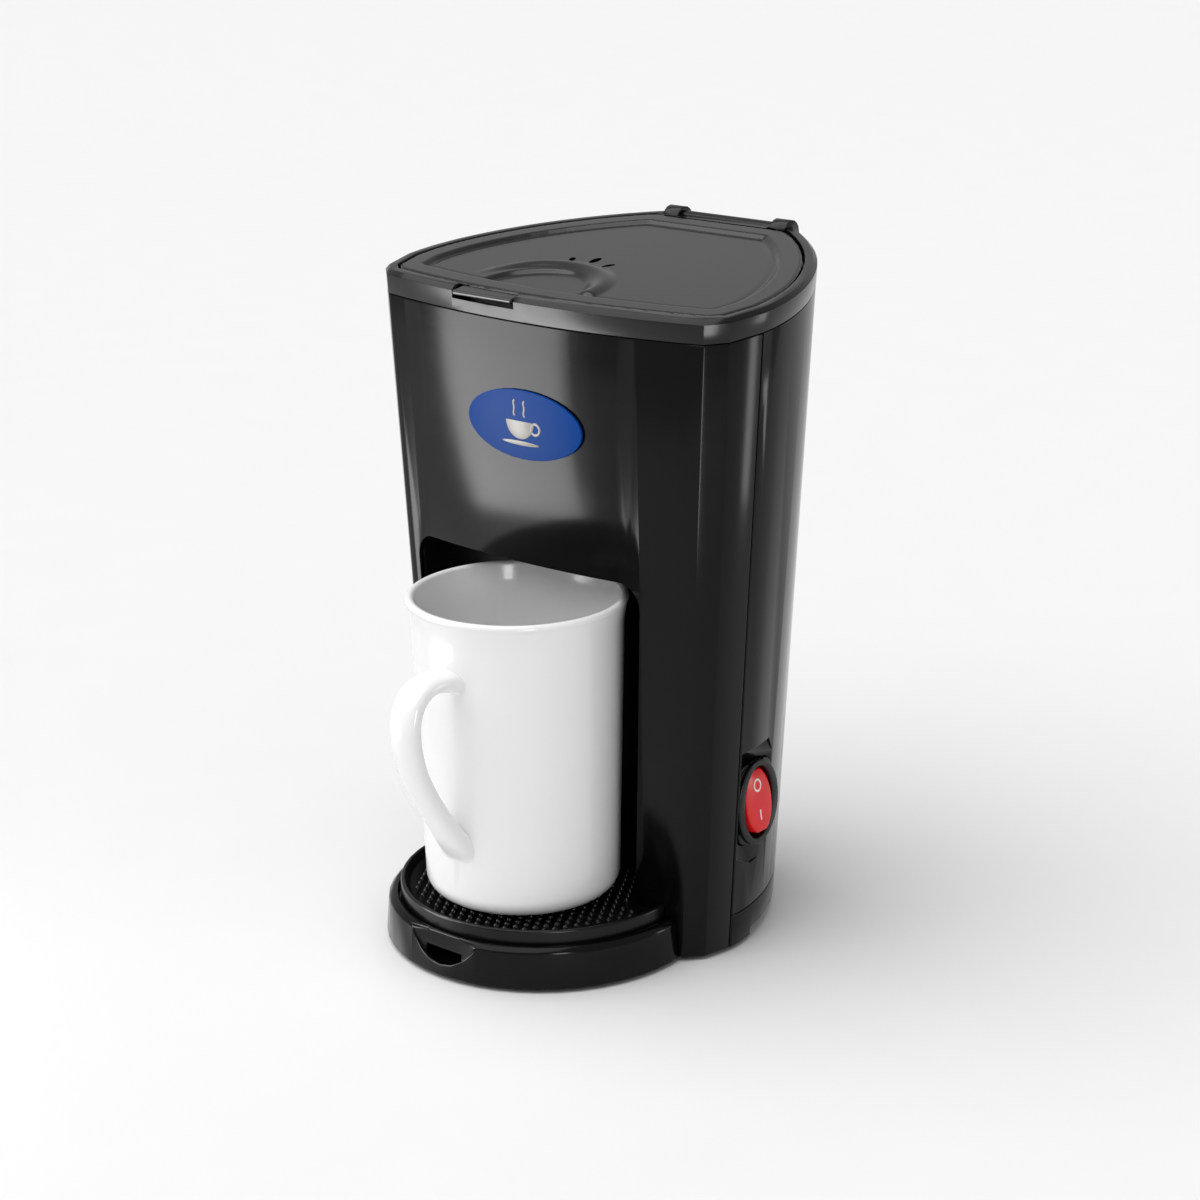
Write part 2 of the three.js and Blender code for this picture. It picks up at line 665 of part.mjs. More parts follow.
function mugBody() {
  const { y, bottom, height, footRadius, heel, lowRadius, highRadius, rimRadius, flare, wall, floor } = MUG;
  const top = bottom + height;
  const outer = [[0, bottom + 1.2], [footRadius - 3.5, bottom + 1.2], [footRadius - 2.5, bottom], [footRadius, bottom]];
  const inner = [];
  const steps = 3;
  for (let i = 1; i <= steps; i++) {
    const turn = (i / steps) * (Math.PI / 2);
    const across = (lowRadius - footRadius) * Math.sin(turn);
    outer.push([footRadius + across, bottom + heel * (1 - Math.cos(turn))]);
    inner.unshift([footRadius - wall + across, bottom + floor + heel * (1 - Math.cos(turn))]);
  }
  outer.push([highRadius, top - flare]);
  inner.unshift([highRadius - wall, top - flare]);
  for (let i = 1; i <= steps; i++) {
    const out = (rimRadius - highRadius) * (i / steps) ** 2;
    outer.push([highRadius + out, top - flare + (flare - 1) * (i / steps)]);
    inner.unshift([highRadius - wall + out + (i / steps) * 0.8, top - flare + (flare - 1) * (i / steps)]);
  }
  inner.unshift([rimRadius - wall / 2, top]);
  inner.push([0, bottom + floor]);
  const cup = turned([...outer, ...inner], 0, y, 32);
  const cavity = turned([...inner.toReversed(), [0, top]], 0, y, 32);
  return cup.add(mugHandle().subtract(cavity).subtract(drum(rimRadius - wall, top, top + 20, 0, y)));
}

// A strap bent through six points, with its ends inside the mug's wall.
function mugHandle() {
  const { reach, thickness, width, top, bottom } = HANDLE;
  const at = (out, up) => new THREE.Vector3(0, MUG.y - out, MUG.bottom + up);
  const far = reach - thickness / 2;
  const path = new THREE.CatmullRomCurve3(
    [
      at(MUG.lowRadius - 1, top - 4),
      at(MUG.lowRadius + 10, top + 1.5),
      at(far - 5.5, top - 4),
      at(far, top - 17),
      at(far - 2.5, top - 32),
      at(far - 11, bottom + 13),
      at(MUG.lowRadius + 7, bottom + 4),
      at(MUG.lowRadius - 1.5, bottom - 1),
    ],
    false,
    "centripetal",
  );
  const section = new THREE.Shape(roundedBoxPoints(-width / 2, width / 2, -thickness / 2, thickness / 2, 3, 2));
  return solid(new THREE.ExtrudeGeometry(section, { extrudePath: path, steps: 15 }));
}

// ---------------------------------------------------------------- filter, tank and hot water

function filterBasket() {
  const { y, top, bottom, topRadius, lowRadius, wall } = BASKET;
  const cup = turned(
    [
      [0, bottom],
      [lowRadius, bottom],
      [topRadius, top],
      [topRadius - wall, top],
      [lowRadius - wall, bottom + wall],
      [0, bottom + wall],
    ],
    0,
    y,
    36,
  );
  const outlet = drum(OUTLET.radius, OUTLET.bottom, bottom + wall / 2, 0, OUTLET.y);
  return cup.add(outlet).subtract(drum(OUTLET.bore, OUTLET.bottom - 1, bottom + 5, 0, OUTLET.y, 12));
}

function filterFrame() {
  const { flange, thick, top, low, bottom, wall, window } = FILTER;
  const rim = BASKET.top + FIT;
  const frame = turned(
    [
      [0, bottom],
      [low, bottom],
      [top, rim],
      [flange, rim],
      [flange, rim + thick],
      [top - wall, rim + thick],
      [low - wall, bottom + wall],
      [0, bottom + wall],
    ],
    0,
    BASKET.y,
    32,
  );
  const slot = new THREE.BoxGeometry(window, 4 * flange, rim - bottom - 2 * FILTER.low / 2);
  const windows = [0, 1].map((i) =>
    solid(slot.clone().rotateZ((i * Math.PI) / 2).translate(0, BASKET.y, (rim + bottom) / 2)),
  );
  return frame.subtract(windows[0]).subtract(windows[1]);
}

function filterMesh() {
  const { top, low, bottom, wall, mesh, thick } = FILTER;
  const z0 = bottom + wall + FIT;
  const z1 = BASKET.top + thick;
  const gap = wall + FIT + 0.15;
  return turned(
    [
      [0, z0],
      [low - gap, z0],
      [top - gap, z1],
      [top - gap - mesh, z1],
      [low - gap - mesh, z0 + mesh],
      [0, z0 + mesh],
    ],
    0,
    BASKET.y,
    32,
  );
}

function waterTank() {
  const { inset: away, wall, front, bottom, topGap, outletX, outletY, outletDrop } = TANK;
  const shell = (depth, floor, y) =>
    towerCore(away + depth, floor, REACH / 1.5).intersect(boxSolid(-REACH, REACH, y, REACH, 0, REACH));
  return shell(0, bottom, front)
    .subtract(shell(wall, bottom + wall, front + wall))
    .subtract(aboveTop(-topGap))
    .add(drum(HOSE.stub, bottom - outletDrop, bottom + wall / 2, outletX, outletY, 12))
    .subtract(drum(HOSE.bore, bottom - 20, bottom + 5, outletX, outletY, 10));
}

function checkValve() {
  const { radius, bottom, height, stub } = VALVE;
  const { outletX, outletY } = TANK;
  return drum(radius, bottom, bottom + height, outletX, outletY, 20)
    .add(drum(HOSE.stub, bottom - stub, bottom + height + stub, outletX, outletY, 12))
    .subtract(drum(HOSE.bore, bottom - 20, bottom + height + 20, outletX, outletY, 10));
}

const at3 = (x, y, z) => new THREE.Vector3(x, y, z);
const STUB_FOOT = HEATER.z + HEATER.height;

function tankHose() {
  const { outletX: x, outletY: y, bottom } = TANK;
  const low = VALVE.bottom + VALVE.height + FIT;
  return hose([at3(x, y, low), at3(x, y, bottom - FIT)], HOSE.outer, HOSE.inner, 2);
}

function coldHose() {
  const { outletX: x, outletY: y } = TANK;
  return hose([at3(x, y, STUB_FOOT + FIT), at3(x, y, VALVE.bottom - FIT)], HOSE.outer, HOSE.inner, 2);
}

// The hot hose climbs from the heater, round the tank's front, to the spout.
function riserTube() {
  const { x: endX, y: endY, hoseTop } = NOZZLE;
  const startX = HEATER.radius;
  const startY = TANK.outletY;
  const low = STUB_FOOT + HEATER.stub;
  const points = [
    at3(startX, startY, STUB_FOOT + FIT),
    at3(startX, startY, STUB_FOOT + HEATER.stub / 2),
    at3(startX, startY, low + 3),
    at3((startX + endX) / 2, (startY + endY) / 2, (low + TANK.bottom) / 2),
    at3(endX, endY, TANK.bottom - 3),
    at3(endX, endY, (TANK.bottom + hoseTop) / 2),
    at3(endX, endY, hoseTop),
  ];
  return hose(points, HOSE.outer, HOSE.inner, 18);
}

function waterSpout() {
  const { x, y, top, hoseTop, head } = NOZZLE;
  return drum(HOSE.stub, hoseTop - 9, top, x, y, 12)
    .add(drum(head, hoseTop + FIT, top, x, y, 16))
    .subtract(drum(HOSE.bore, hoseTop - 20, top + 5, x, y, 10));
}

function hoseClamp(x, y, z, direction) {
  const { wall, height, ear, earWall } = CLAMP;
  const inner = HOSE.outer + FIT;
  const outer = inner + wall;
  const tongue = new THREE.BoxGeometry(ear, earWall, height).translate(outer + ear / 2 - 0.4, 0, 0);
  return drum(outer, z, z + height, x, y, 14)
    .add(solid(tongue.rotateZ(direction).translate(x, y, z + height / 2)))
    .subtract(drum(inner, z - 1, z + height + 1, x, y, 14));
}

// The bent heater body: half a ring with two legs and a pipe end on each.
function heaterBody() {
  const { y, z, height, radius, width, leg, stub } = HEATER;
  const outer = radius + width / 2;
  const inner = radius - width / 2;
  const bend = new THREE.Shape();
  bend.moveTo(outer, leg);
  bend.lineTo(inner, leg);
  bend.lineTo(inner, 0);
  bend.absarc(0, 0, inner, 0, -Math.PI, true);
  bend.lineTo(-inner, leg);
  bend.lineTo(-outer, leg);
  bend.lineTo(-outer, 0);
  bend.absarc(0, 0, outer, Math.PI, 2 * Math.PI, false);
  const points = distinct(bend.getPoints(9));
  const bar = solid(prismGeometry(points, z, z + height).translate(0, y, 0));
  const pipes = [-1, 1].map((side) =>
    drum(HOSE.stub, z + height / 2, z + height + stub, side * radius, TANK.outletY, 12),
  );
  const bores = [-1, 1].map((side) =>
    drum(HOSE.bore, z + height / 2, z + height + 2 * stub, side * radius, TANK.outletY, 10),
  );
  return bar.add(pipes[0]).add(pipes[1]).subtract(bores[0]).subtract(bores[1]);
}

function heaterBracket() {
  const { halfWidth, front, back, wall } = BRACKET;
  const low = COVER.raised + COVER.wall + FIT;
  const high = HEATER.z - FIT;
  return boxSolid(-halfWidth, halfWidth, front, front + wall, low, high)
    .add(boxSolid(-halfWidth, halfWidth, front, back, low, low + wall))
    .add(boxSolid(-halfWidth, halfWidth, front, (front + back) / 2, high - wall, high));
}

function thermostat() {
  const { radius, height, y } = THERMOSTAT;
  const low = STUB_FOOT + FIT;
  const tab = (x) => boxSolid(x - 0.4, x + 0.4, y - 2, y + 2, low + height - 1, low + height + 5);
  return drum(radius, low, low + height, 0, y, 24).add(tab(-3)).add(tab(3));
}

function thermalFuse() {
  const { radius, length, x, y } = FUSE;
  return drumAlong("y", radius, y - length / 2, y + length / 2, x, STUB_FOOT + FIT + radius, 14);
}

// ---------------------------------------------------------------- switch and cord exit

// The outline of the switch's body as (y, z), grown by a gap.
function bodyPoints(grow) {
  const { high, wide, corner } = SWITCH_BODY;
  const { y, z } = SWITCH;
  const halfWide = wide / 2 + grow;
  const halfHigh = high / 2 + grow;
  return roundedBoxPoints(y - halfWide, y + halfWide, z - halfHigh, z + halfHigh, corner);
}

const switchOval = (wide, high) => ovalPoints(SWITCH.y, SWITCH.z, wide / 2, high / 2, 32);

function switchHousing() {
  const { plateX, bezelHigh, bezelWide, bezelDeep } = SWITCH;
  const face = plateX + FIT;
  const socketFloor = face + bezelDeep - SOCKET.deep;
  return raisedAlongX(switchOval(bezelWide, bezelHigh), face, face + bezelDeep)
    .add(raisedAlongX(bodyPoints(0), face - SWITCH_BODY.deep, face + 0.5))
    .subtract(raisedAlongX(switchOval(SOCKET.wide, SOCKET.high), socketFloor, REACH));
}

const ROCKER_PIVOT_X = SWITCH.plateX - ROCKER.pivot + FIT;

// The rocker drawn level and then tipped so that its upper half is pressed in.
function rocker() {
  const { high, wide, face, round, tilt, root } = ROCKER;
  const { y, z } = SWITCH;
  const oval = raisedAlongX(switchOval(wide, high), ROCKER_PIVOT_X - root / 2, ROCKER_PIVOT_X + face + 4);
  const crown = new THREE.CylinderGeometry(round, round, 2 * wide, 36).translate(ROCKER_PIVOT_X, y, z);
  const saddle = boxSolid(ROCKER_PIVOT_X + face, REACH, y - wide, y + wide, z - high, z + high);
  const level = oval.intersect(solid(crown)).subtract(saddle);
  const lift = new THREE.Matrix4()
    .makeTranslation(ROCKER_PIVOT_X, y, z)
    .multiply(new THREE.Matrix4().makeRotationY(THREE.MathUtils.degToRad(-tilt)))
    .multiply(new THREE.Matrix4().makeTranslation(-ROCKER_PIVOT_X, -y, -z));
  return solid(geometryOf(level).applyMatrix4(lift));
}

function terminal(side) {
  const { deep, tabWide, tabThick, tabLong, tabSpread } = SWITCH_BODY;
  const x = SWITCH.plateX - deep;
  const z = SWITCH.z + side * tabSpread;
  const y = SWITCH.y;
  return boxSolid(x - tabLong, x, y - tabWide / 2, y + tabWide / 2, z - tabThick / 2, z + tabThick / 2);
}

function cordGland() {
  const { z, flange, flangeThick, bush, bore, length } = GLAND;
  const back = new THREE.Vector3(0, TOWER.backY + 1, z);
  drafted(back);
  const face = back.y + FIT + (GLAND.flange * -DRAFT.back) / TOWER.height;
  return drumAlong("y", flange, face, face + flangeThick, 0, z, 24)
    .add(drumAlong("y", bush, face - length, face + 0.5, 0, z, 20))
    .subtract(drumAlong("y", bore, face - 2 * length, face + 2 * length, 0, z, 16));
}

// An oval plate that follows the curve of the front.
function badge() {
  const { x, z, halfWidth, halfHeight, thickness } = BADGE;
  const oval = raisedAlongY(ovalPoints(x, z, halfWidth, halfHeight, 32), -REACH / 4, 0);
  const skin = towerCore(-FIT - thickness, z - 30, z + 30).subtract(towerCore(-FIT, z - 31, z + 31));
  return solid(oval).intersect(skin);
}

// ---------------------------------------------------------------- assembly

const coffeeMaker = new THREE.Group();

function place(name, body, material) {
  const mesh = new THREE.Mesh(geometryOf(body), material);
  mesh.name = name;
  coffeeMaker.add(mesh);
}

place("front_shell", frontShell(), blackGloss);
place("rear_shell", rearShell(), blackGloss);
place("base_skirt", baseSkirt(), blackGloss);
place("top_rim", topRim(), blackGloss);
place("lid", lid(), lidBlack);
place("hinge_pin_left", hingePin(-1), steel);
place("hinge_pin_right", hingePin(1), steel);
place("shower_channel", showerChannel(), blackSatin);
place("mug_alcove", mugAlcove(), blackSatin);
place("foot_housing", footHousing(), blackGloss);
place("drip_tray", dripTray(), blackSatin);
place("bottom_cover", bottomCover(), blackSatin);
place("foot_front_left", pad(-PAD.frontX, PAD.frontY), rubber);
place("foot_front_right", pad(PAD.frontX, PAD.frontY), rubber);
place("foot_rear_left", pad(-PAD.backX, PAD.backY), rubber);
place("foot_rear_right", pad(PAD.backX, PAD.backY), rubber);
screwPlaces().forEach(([x, y], i) => place("cover_screw_" + (i + 1), coverScrew(x, y), steel));
place("mug", mugBody(), glaze);
place("filter_basket", filterBasket(), blackSatin);
place("filter_frame", filterFrame(), blackSatin);
place("filter_mesh", filterMesh(), steel);
place("water_tank", waterTank(), tankGrey);
place("tank_hose", tankHose(), silicone);
place("check_valve", checkValve(), blackSatin);
place("cold_hose", coldHose(), silicone);
place("heater_body", heaterBody(), aluminium);
place("heater_bracket", heaterBracket(), steel);
place("thermostat", thermostat(), steel);
place("thermal_fuse", thermalFuse(), steel);
place("riser_tube", riserTube(), silicone);
place("water_spout", waterSpout(), blackSatin);
place("clamp_tank", hoseClamp(TANK.outletX, TANK.outletY, TANK.bottom - 7, Math.PI), steel);
place("clamp_cold", hoseClamp(-HEATER.radius, TANK.outletY, STUB_FOOT + 1.5, Math.PI), steel);
place("clamp_hot", hoseClamp(HEATER.radius, TANK.outletY, STUB_FOOT + 1.5, 0), steel);
place("clamp_spout", hoseClamp(NOZZLE.x, NOZZLE.y, NOZZLE.hoseTop - 6.5, 0), steel);
place("switch_housing", switchHousing(), blackSatin);
place("rocker", rocker(), redLamp);
place("switch_terminal_upper", terminal(1), brass);
place("switch_terminal_lower", terminal(-1), brass);
place("cord_gland", cordGland(), rubber);
place("badge", badge(), badgeBlue);

export default coffeeMaker;
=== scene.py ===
# %% [markdown]
# # A one-cup coffee maker and its mug
#
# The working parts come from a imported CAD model, which is loaded as a fixed frame. Its solids are
# right in size and place, but their edges are sharp and their curves are coarse. This lesson gives
# the pieces that are seen softened edges, real finishes and the small details that sell them.

# %% Load the frame
import json
import math

import bmesh
import bpy
from bpy_extras.object_utils import world_to_camera_view
from mathutils import Matrix, Quaternion, Vector


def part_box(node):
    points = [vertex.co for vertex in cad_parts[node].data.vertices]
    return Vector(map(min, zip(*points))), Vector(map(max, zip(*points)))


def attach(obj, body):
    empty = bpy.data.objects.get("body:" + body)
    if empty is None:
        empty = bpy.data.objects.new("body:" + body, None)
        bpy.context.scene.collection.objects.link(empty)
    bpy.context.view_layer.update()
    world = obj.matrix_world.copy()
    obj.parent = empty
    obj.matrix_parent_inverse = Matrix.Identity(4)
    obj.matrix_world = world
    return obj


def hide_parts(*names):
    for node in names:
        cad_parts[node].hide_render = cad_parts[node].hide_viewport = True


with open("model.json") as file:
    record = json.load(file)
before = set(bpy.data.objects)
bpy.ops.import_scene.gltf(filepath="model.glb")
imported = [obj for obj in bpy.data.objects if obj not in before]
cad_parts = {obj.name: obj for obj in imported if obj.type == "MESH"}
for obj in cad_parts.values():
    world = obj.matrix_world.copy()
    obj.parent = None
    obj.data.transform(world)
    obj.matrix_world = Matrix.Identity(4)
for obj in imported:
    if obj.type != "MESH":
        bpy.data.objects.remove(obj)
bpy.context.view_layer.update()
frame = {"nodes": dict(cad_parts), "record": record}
NODES = frame["nodes"]
MM = 0.001

# %% [markdown]
# ## The camera
#
# The machine is seen from its front right, a little from above, through a long lens at about one
# metre, so its uprights stay nearly parallel. The camera is placed by an azimuth and an elevation
# round a point in the middle of the tower, which is easier to reason about than three coordinates.

# %% Camera
AIM = Vector((0, 0, 0.115))
AZIMUTH = math.radians(40.25)
ELEVATION = math.radians(18.04)
ROLL = math.radians(-0.934)
DISTANCE = 1.0
SENSOR = 36

towards_camera = Vector(
    (
        math.sin(AZIMUTH) * math.cos(ELEVATION),
        -math.cos(AZIMUTH) * math.cos(ELEVATION),
        math.sin(ELEVATION),
    )
)
bpy.ops.object.camera_add(location=AIM + towards_camera * DISTANCE)
camera = bpy.context.object
camera.rotation_mode = "QUATERNION"
camera.rotation_quaternion = (-towards_camera).to_track_quat("-Z", "Y") @ Quaternion((0, 0, 1), ROLL)
camera.data.sensor_width = SENSOR
camera.data.lens = 86.07
camera.data.shift_x = 0.0184
camera.data.shift_y = 0.0029
bpy.context.scene.camera = camera
bpy.context.scene.view_settings.view_transform = "Standard"

# %% [markdown]
# ## The studio
#
# Black gloss shows nothing but what it reflects. A wide soft sun and pale surroundings light the floor
# and the mug evenly. Three low cards are seen only in the gloss: a tall one on the left draws the
# broad grey band down the front, one on the right lights the corner facet, and one behind it the flank.

# %% Studio
def card(name, place, aim, size, size_y, power):
    """A soft rectangular light that only shows as a reflection, turned to face aim."""
    bpy.ops.object.light_add(type="AREA", location=place)
    light = bpy.context.object
    light.name = name
    light.data.shape = "RECTANGLE"
    light.data.size = size
    light.data.size_y = size_y
    light.data.energy = power
    light.rotation_euler = (Vector(aim) - Vector(place)).to_track_quat("-Z", "Y").to_euler()
    light.visible_camera = False
    light.visible_diffuse = False


card("front_card", (-0.215, -0.233, 0.12), (-0.093, -0.03, 0.12), 0.15, 0.30, 1.5)
card("corner_card", (0.30, -0.27, 0.14), (0.07, -0.01, 0.14), 0.07, 0.16, 0.4)
card("flank_card", (0.62, 0.44, 0.10), (0.07, 0.03, 0.10), 0.08, 0.36, 0.6)

bpy.ops.object.light_add(type="SUN", location=(0, 0, 1))
sun = bpy.context.object
sun.name = "soft_sun"
sun.data.angle = math.radians(75)
sun.data.energy = 2.35
sun.rotation_euler = (math.radians(20), math.radians(-18), 0)

studio = bpy.data.worlds.new("studio")
studio.use_nodes = True
studio.node_tree.nodes["Background"].inputs["Color"].default_value = (1, 1, 1, 1)
studio.node_tree.nodes["Background"].inputs["Strength"].default_value = 0.5
bpy.context.scene.world = studio

bpy.ops.mesh.primitive_plane_add(size=12, location=(0, 2, 0))
floor = bpy.context.object
floor.name = "floor"

# %% [markdown]
# ## Finishes
#
# Moulded plastic is never one flat value. Its gloss wanders a little, it has a very fine grain, and
# handling leaves faint smears. Each finish below is a Principled shader whose roughness is driven by
# stretched noise, with a finer noise as bump, all on Object coordinates so that nothing slides.

# %% Finish helper
def finish(
    name, colour, rough, spread=0.05, grain=900, depth=0.05, stretch=(1, 1, 1), tint=0.12, **sockets
):
    """A procedural finish: rough and spread set the gloss, grain and depth the fine texture."""
    made = bpy.data.materials.new(name)
    made.use_nodes = True
    nodes = made.node_tree.nodes
    link = made.node_tree.links.new
    shader = nodes["Principled BSDF"]
    place = nodes.new("ShaderNodeTexCoord")
    mapping = nodes.new("ShaderNodeMapping")
    mapping.inputs["Scale"].default_value = stretch
    link(place.outputs["Object"], mapping.inputs["Vector"])

    smear = nodes.new("ShaderNodeTexNoise")
    smear.inputs["Scale"].default_value = 28
    smear.inputs["Detail"].default_value = 5
    link(mapping.outputs["Vector"], smear.inputs["Vector"])
    gloss = nodes.new("ShaderNodeMapRange")
    gloss.inputs["To Min"].default_value = max(rough - spread, 0.02)
    gloss.inputs["To Max"].default_value = rough + spread
    link(smear.outputs["Fac"], gloss.inputs["Value"])
    link(gloss.outputs["Result"], shader.inputs["Roughness"])

    tone = nodes.new("ShaderNodeMix")
    tone.data_type = "RGBA"
    tone.inputs[6].default_value = (*[c * (1 - tint) for c in colour], 1)
    tone.inputs[7].default_value = (*[min(c * (1 + tint), 1) for c in colour], 1)
    link(smear.outputs["Fac"], tone.inputs[0])
    link(tone.outputs[2], shader.inputs["Base Color"])

    fine = nodes.new("ShaderNodeTexNoise")
    fine.inputs["Scale"].default_value = grain
    fine.inputs["Detail"].default_value = 3
    link(mapping.outputs["Vector"], fine.inputs["Vector"])
    bump = nodes.new("ShaderNodeBump")
    bump.inputs["Strength"].default_value = depth
    bump.inputs["Distance"].default_value = 0.0002
    link(fine.outputs["Fac"], bump.inputs["Height"])
    link(bump.outputs["Normal"], shader.inputs["Normal"])
    for socket, value in sockets.items():
        shader.inputs[socket.replace("_", " ")].default_value = value
    return made


# %% Finishes
piano_black = finish("piano_black", (0.002, 0.002, 0.0023), 0.13, 0.02, 700, 0.02, (1, 1, 6), IOR=1.26)
front_black = finish("front_black", (0.002, 0.002, 0.0023), 0.15, 0.02, 500, 0.02, (1, 1, 9), IOR=1.26)
rim_black = finish("rim_black", (0.003, 0.003, 0.0034), 0.2, 0.04, 800, 0.04, IOR=1.36)
lid_black = finish("lid_black", (0.003, 0.003, 0.0034), 0.18, 0.03, 900, 0.03, IOR=1.46)
satin_black = finish("satin_black", (0.003, 0.003, 0.0034), 0.34, 0.05, 1400, 0.1, IOR=1.28)
tray_black = finish("tray_black", (0.003, 0.003, 0.0034), 0.26, 0.05, 1200, 0.06, IOR=1.32)
switch_black = finish("switch_black", (0.004, 0.004, 0.0044), 0.28, 0.05, 1500, 0.08, IOR=1.36)
rubber_black = finish("rubber_black", (0.012, 0.012, 0.012), 0.75, 0.08, 2000, 0.3)
tank_grey = finish("tank_grey", (0.05, 0.053, 0.057), 0.45, 0.06, 1100, 0.1)
glaze = finish("white_glaze", (0.9, 0.905, 0.9), 0.16, 0.03, 90, 0.02, tint=0.012)
lamp_red = finish("lamp_red", (0.62, 0.006, 0.01), 0.2, 0.03, 600, 0.02, tint=0.06, IOR=1.4,
                  Emission_Color=(0.9, 0.02, 0.02, 1), Emission_Strength=0.1)
mark_white = finish("mark_white", (0.85, 0.82, 0.8), 0.4, 0.04, 900, 0.02, tint=0.02)
badge_blue = finish("badge_blue", (0.0, 0.05, 0.27), 0.4, 0.04, 1200, 0.03, tint=0.04, IOR=1.15)
badge_pale = finish("badge_pale", (0.3, 0.28, 0.25), 0.35, 0.05, 1500, 0.05, tint=0.05)
silicone = finish("silicone", (0.66, 0.64, 0.6), 0.5, 0.08, 600, 0.05)
cast_metal = finish("cast_metal", (0.6, 0.6, 0.62), 0.42, 0.08, 500, 0.25, Metallic=1.0)
bright_steel = finish("bright_steel", (0.56, 0.56, 0.58), 0.26, 0.07, 700, 0.08, (1, 1, 12), Metallic=1.0)
brass_metal = finish("brass_metal", (0.65, 0.48, 0.2), 0.28, 0.06, 700, 0.06, Metallic=1.0)
pale_floor = finish("pale_floor", (0.83, 0.83, 0.83), 0.6, 0.03, 30, 0.01, tint=0.01)
floor.data.materials.append(pale_floor)

FINISH_OF_SLOT = {
    "shell_gloss": piano_black,
    "rim_gloss": rim_black,
    "lid_black": lid_black,
    "inner_satin": satin_black,
    "tray_satin": tray_black,
    "switch_satin": switch_black,
    "rocker_red": lamp_red,
    "mug_glaze": glaze,
    "badge_blue": badge_blue,
    "tank_grey": tank_grey,
    "silicone": silicone,
    "aluminium": cast_metal,
    "steel": bright_steel,
    "brass": brass_metal,
    "rubber": rubber_black,
}
SLOT_OF = {part["node"]: part["material_slot"] for part in frame["record"]["subparts"]}
BODY_OF = {
    node: body
    for body, names in frame["record"]["behaviour"]["bodies"].items()
    for node in names
}
for name, node in NODES.items():
    for holder in node.material_slots:
        holder.material = FINISH_OF_SLOT[SLOT_OF[name]]
print(len(NODES), "CAD nodes dressed,", len(FINISH_OF_SLOT), "finishes")

# %% [markdown]
# ## Starting clean
#
# Loading leaves every CAD node selected, and an edit-mode operator acts on all that is selected. So
# each piece starts from an empty selection, and each finished piece is named, shaded, given its
# finish and told which moving body it rides on.

# %% Piece helpers
def deselect():
    """Leaves nothing selected, in object mode."""
    if bpy.context.object and bpy.context.object.mode != "OBJECT":
        bpy.ops.object.mode_set(mode="OBJECT")
    bpy.ops.object.select_all(action="DESELECT")


def only(piece):
    """Makes one object the selected and active one."""
    deselect()
    piece.select_set(True)
    bpy.context.view_layer.objects.active = piece


def apply_all(piece):
    """Applies every modifier, from first to last."""
    only(piece)
    for modifier in list(piece.modifiers):
        bpy.ops.object.modifier_apply(modifier=modifier.name)


def settle(piece):
    """Puts the object at the origin, with its place in its mesh."""
    only(piece)
    bpy.ops.object.transform_apply(location=True, rotation=True, scale=True)


def outward(piece, merge=0.000002):
    """Merges doubles and turns every face outwards."""
    only(piece)
    bpy.ops.object.mode_set(mode="EDIT")
    bpy.ops.mesh.select_all(action="SELECT")
    bpy.ops.mesh.remove_doubles(threshold=merge)
    bpy.ops.mesh.normals_make_consistent(inside=False)
    bpy.ops.object.mode_set(mode="OBJECT")


def complete(piece, name, material, body, smooth=30, nodes=()):
    """Names, shades and paints a piece, and fixes it to its moving body."""
    settle(piece)
    piece.name = name
    piece.data.name = name
    if material:
        piece.data.materials.clear()
        piece.data.materials.append(material)
    only(piece)
    bpy.ops.object.shade_smooth_by_angle(angle=math.radians(smooth))
    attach(piece, body)
    if nodes:
        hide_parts(*nodes)
    print(name, len(piece.data.polygons), "faces")
    return piece


# %% [markdown]
# ## Softened shells
#
# No moulding has a perfectly sharp edge: a radius of a few tenths of a millimetre catches a thin line
# of light along every corner. A shell whose CAD shape is right is copied, its triangles are merged
# back into flat faces, and a bevel rounds its edges. Long gentle curves stay smooth by their shading.
# The top rim has very short edges at its hinge ears. There the bevel is clamped, or it throws spikes.

# %% Soften helper
MERGE_WITHIN = 0.00003
FLAT_WITHIN = math.radians(0.6)


def merged_copy(node, name):
    """A clean copy of a CAD node, its triangles merged into whole faces."""
    data = NODES[node].data.copy()
    piece = bpy.data.objects.new(name, data)
    bpy.context.scene.collection.objects.link(piece)
    only(piece)
    bpy.ops.object.mode_set(mode="EDIT")
    bpy.ops.mesh.select_all(action="SELECT")
    bpy.ops.mesh.remove_doubles(threshold=MERGE_WITHIN)
    bpy.ops.mesh.dissolve_limited(angle_limit=FLAT_WITHIN)
    bpy.ops.object.mode_set(mode="OBJECT")
    return piece


def soften(node, radius=0.4, steps=2, corner=26, material=None, clamp=False):
    """A copy of a node with rounded edges, in place of the node. The radius is in millimetres."""
    piece = merged_copy(node, node + "_moulding")
    bevel = piece.modifiers.new("edges", "BEVEL")
    bevel.width = radius * MM
    bevel.segments = steps
    bevel.limit_method = "ANGLE"
    bevel.angle_limit = math.radians(corner)
    bevel.use_clamp_overlap = clamp
    weight = piece.modifiers.new("flat faces", "WEIGHTED_NORMAL")
    weight.keep_sharp = True
    apply_all(piece)
    slot = SLOT_OF[node]
    return complete(piece, node + "_moulding", material or FINISH_OF_SLOT[slot], BODY_OF[node],
                    smooth=corner + 4, nodes=(node,))


# %% Shells
soften("front_shell", 0.5, material=front_black)
soften("rear_shell", 0.35)
soften("base_skirt", 0.35)
soften("mug_alcove", 0.4)
soften("foot_housing", 0.45)
soften("top_rim", 0.45, clamp=True)
soften("switch_housing", 0.5, 3)
soften("cord_gland", 0.5)
soften("filter_basket", 0.3)
soften("filter_frame", 0.25)

